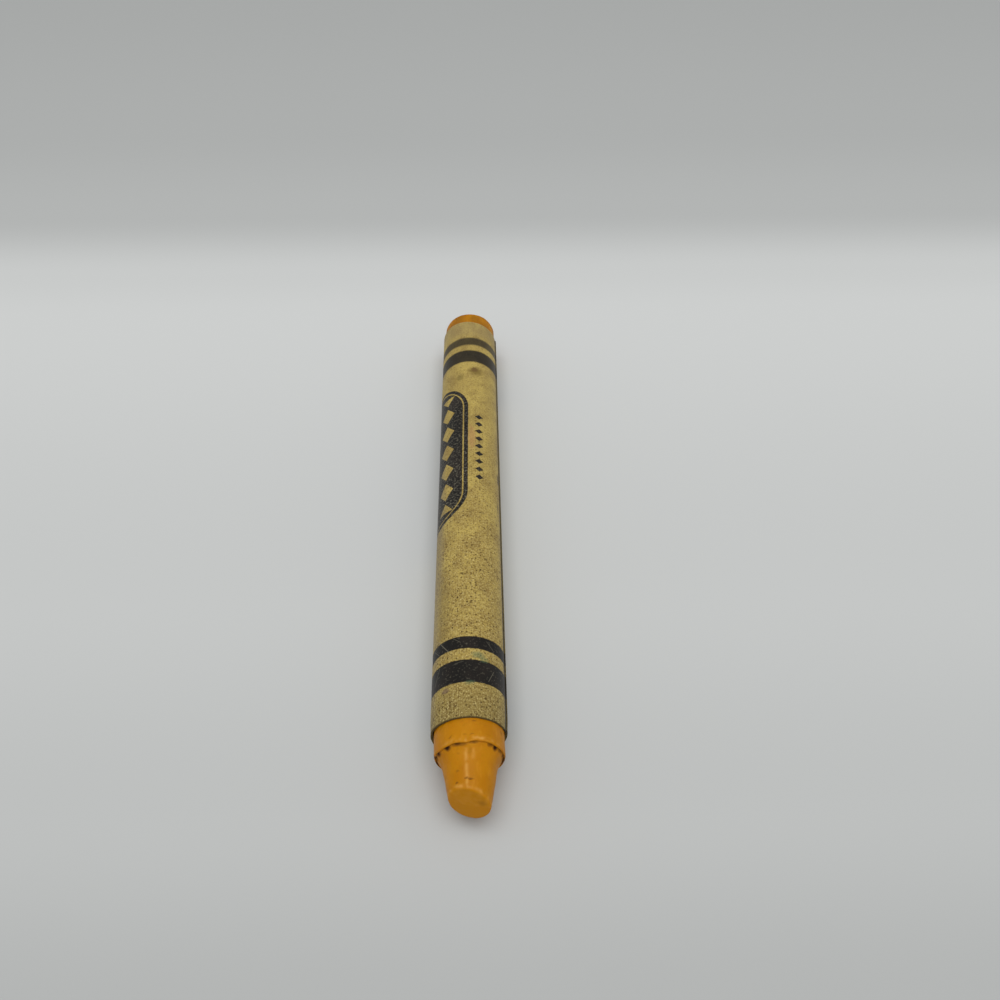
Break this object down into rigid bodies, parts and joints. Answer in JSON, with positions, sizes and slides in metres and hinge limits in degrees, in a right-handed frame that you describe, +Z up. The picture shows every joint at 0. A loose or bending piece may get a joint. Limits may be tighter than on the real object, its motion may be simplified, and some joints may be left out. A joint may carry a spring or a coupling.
{
  "type": "wax crayon",
  "caption": "Used wax crayon lying on its side: a moulded wax stick with a worn cone tip, in a wound kraft paper wrapper with plain dark bands.",
  "frame": {"origin": "middle of the crayon's length, under its axis, on the surface it lies on", "axes": "+Y along the stick from the worn tip to the flat end, +Z up from the surface, +X toward the lap seam"},
  "size_m": [0.0083, 0.0836, 0.0082],
  "materials": {
    "wax": "satin",
    "wrapper_paper": "matte"
  },
  "bodies": {
    "root": {"wax_stick": "wax", "paper_wrapper": "wrapper_paper"}
  },
  "joints": []
}
